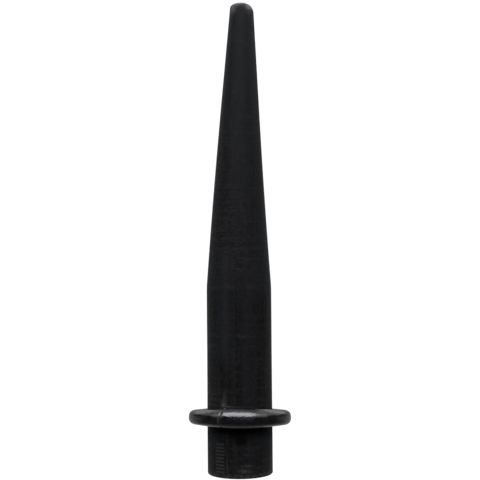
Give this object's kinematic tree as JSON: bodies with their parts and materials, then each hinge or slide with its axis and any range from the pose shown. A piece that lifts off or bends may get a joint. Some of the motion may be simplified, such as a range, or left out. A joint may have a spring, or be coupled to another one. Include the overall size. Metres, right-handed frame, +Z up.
{
  "type": "ear-stretching taper",
  "caption": "Tapered black plastic shaft with a rounded tip and a flat butt, held by a glossy rubber O-ring that slides along its parallel shank.",
  "frame": {"origin": "centre of the flat butt face, at the bottom of the shaft", "axes": "+Z runs up the shaft's axis from the butt to the tip, -Y faces the viewer and is the ring's raised side"},
  "size_m": [0.0156, 0.0156, 0.0722],
  "materials": {
    "shaft": "satin black moulded plastic with faint lengthwise marks",
    "ring": "glossy black rubber"
  },
  "bodies": {
    "taper": {"taper_shaft": "shaft"},
    "ring": {"o_ring": "ring"}
  },
  "joints": [
    {"name": "ring_slide", "type": "slide", "parent": "taper", "child": "ring", "axis": [0, 0, 1], "range_m": [-0.006, 0.068]}
  ]
}
